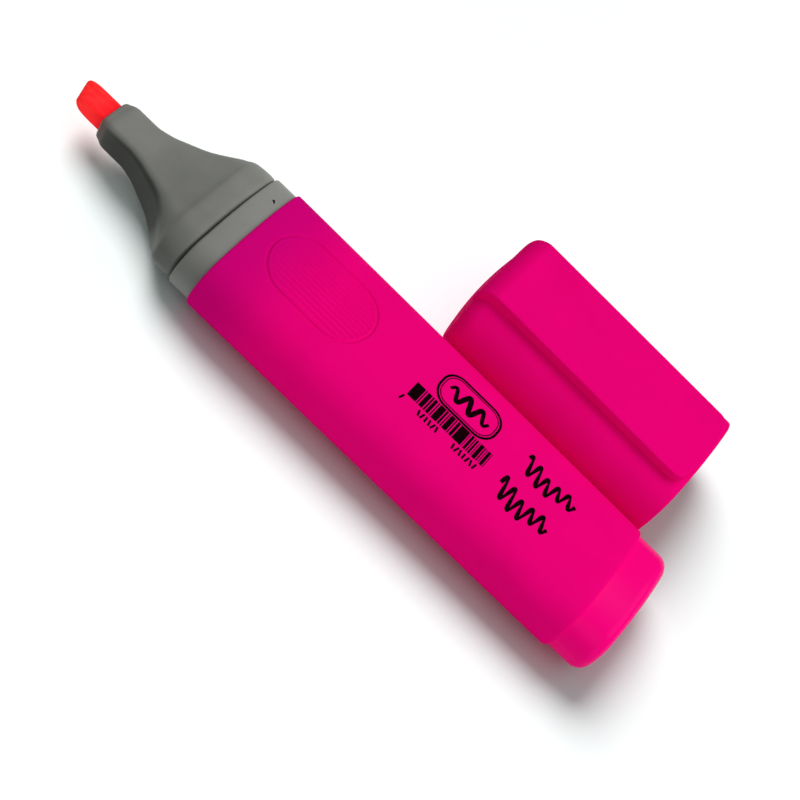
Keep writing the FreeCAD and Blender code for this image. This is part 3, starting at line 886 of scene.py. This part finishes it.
def ramp(tree, factor, stops):
    node = tree.nodes.new("ShaderNodeValToRGB")
    elements = node.color_ramp.elements
    while len(elements) < len(stops):
        elements.new(0.5)
    for element, (position, colour) in zip(elements, stops):
        element.position = position
        element.color = (*colour, 1)
    tree.links.new(factor, node.inputs["Fac"])
    return node.outputs["Color"]


def value_range(tree, factor, low, high):
    node = tree.nodes.new("ShaderNodeMapRange")
    node.inputs["To Min"].default_value = low
    node.inputs["To Max"].default_value = high
    tree.links.new(factor, node.inputs["Value"])
    return node.outputs["Result"]


def add_bump(tree, shader, height, strength, distance_mm):
    bump = tree.nodes.new("ShaderNodeBump")
    bump.inputs["Strength"].default_value = strength
    bump.inputs["Distance"].default_value = distance_mm * MM
    tree.links.new(height, bump.inputs["Height"])
    tree.links.new(bump.outputs["Normal"], shader.inputs["Normal"])


def tinted(tree, colour, tint, measure, near, far, share):
    """Mixes a share of tint into colour where measure is near, less and less up to far."""
    fade = tree.nodes.new("ShaderNodeMapRange")
    fade.interpolation_type = "SMOOTHSTEP"
    fade.inputs["From Min"].default_value = near
    fade.inputs["From Max"].default_value = far
    fade.inputs["To Min"].default_value = share
    fade.inputs["To Max"].default_value = 0.0
    blend = tree.nodes.new("ShaderNodeMix")
    blend.data_type = "RGBA"
    blend.inputs["B"].default_value = (*tint, 1)
    tree.links.new(measure, fade.inputs["Value"])
    tree.links.new(fade.outputs["Result"], blend.inputs["Factor"])
    tree.links.new(colour, blend.inputs["A"])
    return blend.outputs["Result"]


def distance_from(tree, centre_mm, along=1.0):
    """Distance from a place. Lengths along X count by the share along."""
    moved = Vector((-along * centre_mm.x, -centre_mm.y, -centre_mm.z)) * MM
    away = tree.nodes.new("ShaderNodeVectorMath")
    away.operation = "LENGTH"
    tree.links.new(mapped_place(tree, (along, 1, 1), moved), away.inputs[0])
    return away.outputs["Value"]


def stained_and_shaded_nose(tree, plastic):
    """Ink stains the nose's lip, and a painted shade darkens the hollow of its near flank."""
    lip = distance_from(tree, STAIN_MIDDLE)
    stained = tinted(
        tree, plastic, STAIN_RED, lip, STAIN_START * MM, STAIN_REACH * MM, STAIN_SHARE
    )
    facing = tree.nodes.new("ShaderNodeNewGeometry")
    off_flank = tree.nodes.new("ShaderNodeMath")
    off_flank.operation = "MULTIPLY_ADD"
    off_flank.inputs[1].default_value = FLANK_FACING_NEARER * MM
    tree.links.new(component(tree, facing.outputs["Normal"], "Y"), off_flank.inputs[0])
    tree.links.new(distance_from(tree, FLANK_HOLLOW, FLANK_STRETCH), off_flank.inputs[2])
    measure, near = off_flank.outputs["Value"], FLANK_SHADE_FULL * MM
    return tinted(tree, stained, FLANK_SHADE, measure, near, 0.0, FLANK_SHADE_SHARE)


def moulded_plastic(
    name, colour, darker, roughness, gloss, grain=0.25, glow=0.0, front=None, nose=False
):
    """Injection-moulded plastic: faint flow clouds, uneven sheen and a fine grain.
    gloss is an index of refraction, and glow is an even emission that stands in for the dye's
    fluorescence and also lifts the shade all over: painted light.
    With front given, that darker colour, a painted shade, shows at the barrel's front edge and
    fades out behind it."""
    material, tree, shader = new_material(name)
    clouds = object_noise(tree, scale=90.0, detail=4.0, rough=0.6)
    plastic = ramp(tree, clouds, [(CLOUD_DEEP, darker), (CLOUD_CLEAR, colour)])
    if front:
        near, far = (BARREL_FRONT + PINK_FRONT_SHADE_START) * MM, (BARREL_FRONT + PINK_FRONT_SHADE_END) * MM
        plastic = tinted(tree, plastic, front, along_marker(tree), near, far, 1.0)
    # the nose gets its ink stain at the lip and a painted shade in its near flank's hollow
    if nose:
        plastic = stained_and_shaded_nose(tree, plastic)
    tree.links.new(plastic, shader.inputs["Base Color"])
    sheen = object_noise(tree, scale=420.0, stretch=(0.4, 1, 1))
    uneven = value_range(tree, sheen, roughness - SHEEN_SMOOTHER, roughness + SHEEN_ROUGHER)
    tree.links.new(uneven, shader.inputs["Roughness"])
    set_inputs(shader, IOR=gloss)
    if glow:
        set_inputs(shader, Emission_Color=(*FLUORESCENCE_AND_LIFT_GLOW, 1), Emission_Strength=glow)
    fine = object_noise(tree, scale=9000.0, detail=2.0)
    add_bump(tree, shader, fine, strength=grain, distance_mm=0.02)
    return material


def inked_fibre(name):
    """Felt soaked with ink, deeper red near the nose's lip, with an even red glow that brightens
    it: painted light.
    """
    material, tree, shader = new_material(name)
    fibres = object_noise(tree, scale=1500.0, stretch=(0.12, 1, 1), detail=4.0, rough=0.7)
    reds = ramp(tree, fibres, FIBRE_REDS)
    near, far = NOSE_LIP * MM, (NOSE_LIP - SOAKED_REACH) * MM
    red = tinted(tree, reds, SOAKED_RED, along_marker(tree), near, far, SOAKED_SHARE)
    tree.links.new(red, shader.inputs["Base Color"])
    set_inputs(shader, Roughness=0.75, Specular_IOR_Level=0.08)
    # painted light: an even red emission stands in for the ink's fluorescence and brightens the nib
    set_inputs(shader, Emission_Color=(*FIBRE_GLOW_RED, 1), Emission_Strength=0.15)
    add_bump(tree, shader, fibres, strength=0.25, distance_mm=0.04)
    return material


def print_ink(name):
    material, tree, shader = new_material(name)
    wear = object_noise(tree, scale=2600.0, rough=0.6)
    tree.links.new(ramp(tree, wear, INK_BLACKS), shader.inputs["Base Color"])
    tree.links.new(value_range(tree, wear, low=0.7, high=0.95), shader.inputs["Roughness"])
    set_inputs(shader, Specular_IOR_Level=0.0)
    return material


def table_top(name):
    material, tree, shader = new_material(name)
    cloud = object_noise(tree, scale=6.0)
    tree.links.new(ramp(tree, cloud, TABLE_WHITES), shader.inputs["Base Color"])
    set_inputs(shader, Roughness=0.9, Specular_IOR_Level=0.0)
    return material


# each pink's glow is painted light that lifts its shade; the cap's is strongest, to lighten the
# clip's groove
satin_pink = moulded_plastic(
    "pink_satin_plastic", PINK, PINK_DEEP,
    roughness=0.5, gloss=1.02, grain=0.3, glow=0.045, front=PINK_FRONT_SHADE,
)
gloss_pink = moulded_plastic(
    "pink_gloss_plastic", PLUG_PINK, PINK, roughness=0.22, gloss=1.07, grain=0.08, glow=0.09
)
cap_pink = moulded_plastic(
    "pink_cap_plastic", CAP_PINK, CAP_DEEP, roughness=0.4, gloss=1.01, grain=0.15, glow=0.14
)
collar_grey = moulded_plastic(
    "light_grey_plastic", COLLAR_GREY, GREY, roughness=0.5, gloss=1.2, grain=0.5
)
nose_grey = moulded_plastic(
    "grey_plastic", GREY, GREY_DEEP, roughness=0.52, gloss=1.2, grain=0.5, nose=True
)
seal_white = moulded_plastic("seal_plastic", SEAL_WHITE, SEAL_DEEP, roughness=0.45, gloss=1.3)
fibre = inked_fibre("inked_fibre")
black_ink = print_ink("print_ink")


# ---- the pieces, each on its body but the clip ----
def dress(piece, material, body, slot, *replaced):
    piece.data.materials.append(material)
    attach(piece, body)
    if replaced:
        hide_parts(*replaced)


def dress_node(node, material):
    holder = frame["nodes"][node]
    if not holder.material_slots:
        holder.data.materials.append(material)
    for place in holder.material_slots:
        place.material = material


dress(make_barrel(), satin_pink, "marker", "pink_satin_plastic", "barrel")
dress(make_plug(), gloss_pink, "marker", "pink_gloss_plastic", "rear_plug")
nose = make_nose()
collar = make_collar()
dress(collar, collar_grey, "marker", "light_grey_plastic", "front_collar")
dress(nose, nose_grey, "marker", "grey_plastic", "nose_cone")
dress(make_nib(), fibre, "marker", "inked_fibre", "nib")
dress(make_emblem(), black_ink, "marker", "pink_satin_plastic")
dress(make_bars(), black_ink, "marker", "pink_satin_plastic")
dress(make_swashes(), black_ink, "marker", "pink_satin_plastic")
dress(make_collar_mark(), black_ink, "marker", "light_grey_plastic")
dress(make_cap_shell(), cap_pink, "cap", "pink_cap_plastic", "cap_shell")

clip = make_clip()
clip.data.materials.append(cap_pink)
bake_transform(clip)
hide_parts("cap_clip")

dress_node("cap_inner_seal", seal_white)
dress_node("ink_reservoir", fibre)
dress_node("reservoir_wrap", seal_white)


# ---- table, light and camera ----
TABLE_HALF_SIZE = 4000
LIGHT_DISTANCE = 0.9
LIGHT_TARGET = Vector((0, 0, 0.007))
WORLD_STRENGTH = 0.14


def make_table():
    bm = bmesh.new()
    bmesh.ops.create_grid(bm, x_segments=40, y_segments=40, size=TABLE_HALF_SIZE)
    table = finish_mesh("table", bm)
    table.data.materials.append(table_top("table_top"))
    return table


def way_to(azimuth, elevation):
    """The direction of a light. azimuth is counted from +Y towards -X, in degrees."""
    a, e = math.radians(azimuth), math.radians(elevation)
    return Vector((-math.sin(a) * math.cos(e), math.cos(a) * math.cos(e), math.sin(e)))


def hang(name, lamp, azimuth, elevation, reach):
    """Turns a light to the object. reach says which things it falls on."""
    holder = bpy.data.objects.new(name, lamp)
    bpy.context.scene.collection.objects.link(holder)
    place = way_to(azimuth, elevation) * LIGHT_DISTANCE
    holder.location = place
    holder.rotation_euler = (LIGHT_TARGET - place).to_track_quat("-Z", "Y").to_euler()
    holder.light_linking.receiver_collection = reach


def soft_box(name, reach, azimuth, elevation, size, power):
    lamp = bpy.data.lights.new(name, "AREA")
    lamp.shape = "DISK"
    lamp.size = size
    lamp.energy = power
    hang(name, lamp, azimuth, elevation, reach)


def wide_glow(name, reach, azimuth, elevation, spread, strength, colour):
    """Soft light from a patch of sky spread degrees wide, the same all over the floor."""
    lamp = bpy.data.lights.new(name, "SUN")
    lamp.angle = math.radians(spread)
    lamp.energy = strength
    lamp.color = colour
    hang(name, lamp, azimuth, elevation, reach)


def light_reach(name, things, state):
    """These things alone (INCLUDE), or everything but them (EXCLUDE)."""
    reach = bpy.data.collections.new(name)
    for thing in things:
        reach.objects.link(thing)
    for place in reach.collection_objects:
        place.light_linking.link_state = state
    return reach


def make_world():
    world = bpy.data.worlds.new("studio")
    world.use_nodes = True
    background = world.node_tree.nodes["Background"]
    background.inputs["Color"].default_value = (1, 1, 1, 1)
    background.inputs["Strength"].default_value = WORLD_STRENGTH
    bpy.context.scene.world = world


# The camera stands nearly square to the marker and rolls it onto the picture's diagonal.
# Its place is in mm from the barrel's front and the marker's axis, and from the table.
CAMERA_PLACE = Vector((33.948, -136.982, 202.34))
CAMERA_AZIMUTH = -0.353
CAMERA_ELEVATION = 54.944
CAMERA_ROLL = 43.893
CAMERA_LENS = 70.654
CAMERA_SENSOR = 36.0
CAMERA_CLIP_START = 0.005


def make_camera():
    data = bpy.data.cameras.new("camera")
    data.sensor_width = CAMERA_SENSOR
    data.lens = CAMERA_LENS
    data.clip_start = CAMERA_CLIP_START
    holder = bpy.data.objects.new("camera", data)
    bpy.context.scene.collection.objects.link(holder)
    azimuth, elevation, roll = (
        math.radians(angle) for angle in (CAMERA_AZIMUTH, CAMERA_ELEVATION, CAMERA_ROLL)
    )
    level_share = math.cos(elevation)
    forward = Vector(
        (math.sin(azimuth) * level_share, math.cos(azimuth) * level_share, -math.sin(elevation))
    )
    level = forward.cross(Vector((0, 0, 1))).normalized()
    above = level.cross(forward)
    across = math.cos(roll) * level + math.sin(roll) * above
    upright = math.cos(roll) * above - math.sin(roll) * level
    place = (CAMERA_PLACE + Vector((BARREL_FRONT, MARKER_Y, 0))) * MM
    turned = Matrix((across, upright, -forward)).transposed().to_4x4()
    holder.matrix_world = Matrix.Translation(place) @ turned
    bpy.context.scene.camera = holder


# The table and the marker have lights of their own. The front and fill lights miss the greys.
table = make_table()
table_reach = light_reach("table_reach", [table], "INCLUDE")
marker_reach = light_reach("marker_reach", [table], "EXCLUDE")
pink_reach = light_reach("pink_reach", [table, nose, collar], "EXCLUDE")
wide_glow(
    "table_key", table_reach,
    azimuth=56, elevation=52, spread=35, strength=3.42, colour=(1.0, 0.95, 0.96),
)
wide_glow(
    "table_soft", table_reach,
    azimuth=0, elevation=90, spread=90, strength=0.72, colour=(0.8, 1.0, 0.97),
)
soft_box("side_light", marker_reach, azimuth=300, elevation=45, size=0.75, power=4.6)
soft_box("top_light", marker_reach, azimuth=0, elevation=68, size=0.45, power=3.8)
soft_box("front_light", pink_reach, azimuth=195, elevation=56, size=0.75, power=2.7)
soft_box("fill_light", pink_reach, azimuth=225, elevation=16, size=0.45, power=1.3)
make_world()
make_camera()
bpy.context.scene.view_settings.view_transform = "Standard"
